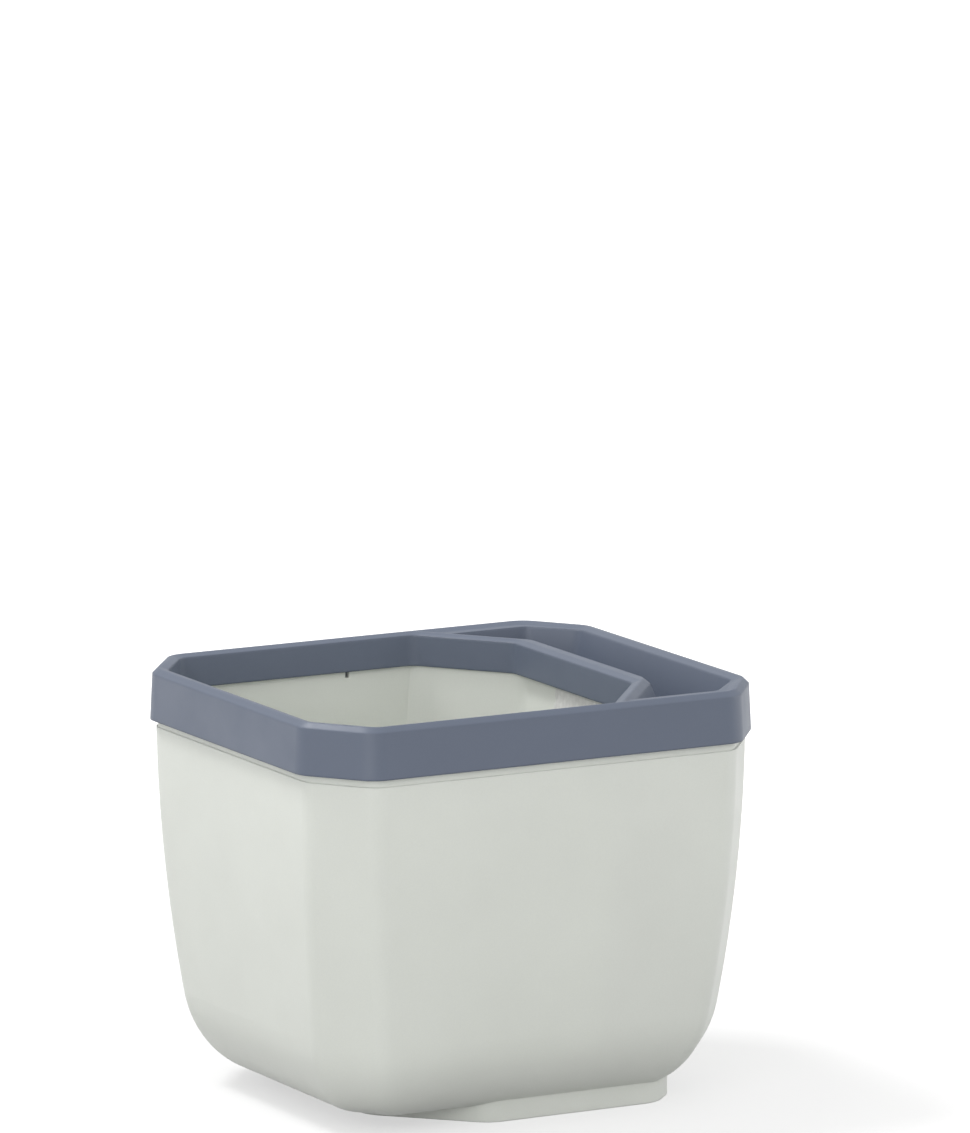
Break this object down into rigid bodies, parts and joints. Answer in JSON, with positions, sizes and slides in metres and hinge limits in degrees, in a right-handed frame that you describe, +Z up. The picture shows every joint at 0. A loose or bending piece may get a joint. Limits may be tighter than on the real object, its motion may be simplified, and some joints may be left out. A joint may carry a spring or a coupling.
{
  "type": "self-watering herb planter",
  "caption": "Chamfered square tabletop planter with a lift-off rim ring, a folded textile wick over an inner partition, a side water chamber with a filling trough and a recessed foot.",
  "frame": {"origin": "on the ground under the middle of the planter with the rim on, at the bottom of its bounding box", "axes": "+Z up, -Y towards the front, +X towards the side with the water chamber and filling trough"},
  "size_m": [0.16, 0.1424, 0.1332],
  "materials": {
    "pot": "pale grey-green injection-moulded plastic, matt",
    "rim": "blue-grey injection-moulded plastic, matt",
    "wick": "off-white woven cotton tape with looped edges"
  },
  "bodies": {
    "pot": {"pot": "pot"},
    "rim": {"rim": "rim"},
    "wick": {"wick": "wick"}
  },
  "joints": [
    {"name": "rim_lift", "type": "slide", "parent": "pot", "child": "rim", "axis": [0, 0, 1], "range_m": [0, 0.1971]},
    {"name": "wick_lift", "type": "slide", "parent": "pot", "child": "wick", "axis": [0, 0, 1], "range_m": [0, 0.1451]}
  ],
  "couplings": [
    {"joint": "wick_lift", "follows": "rim_lift", "ratio": 0.7357}
  ]
}
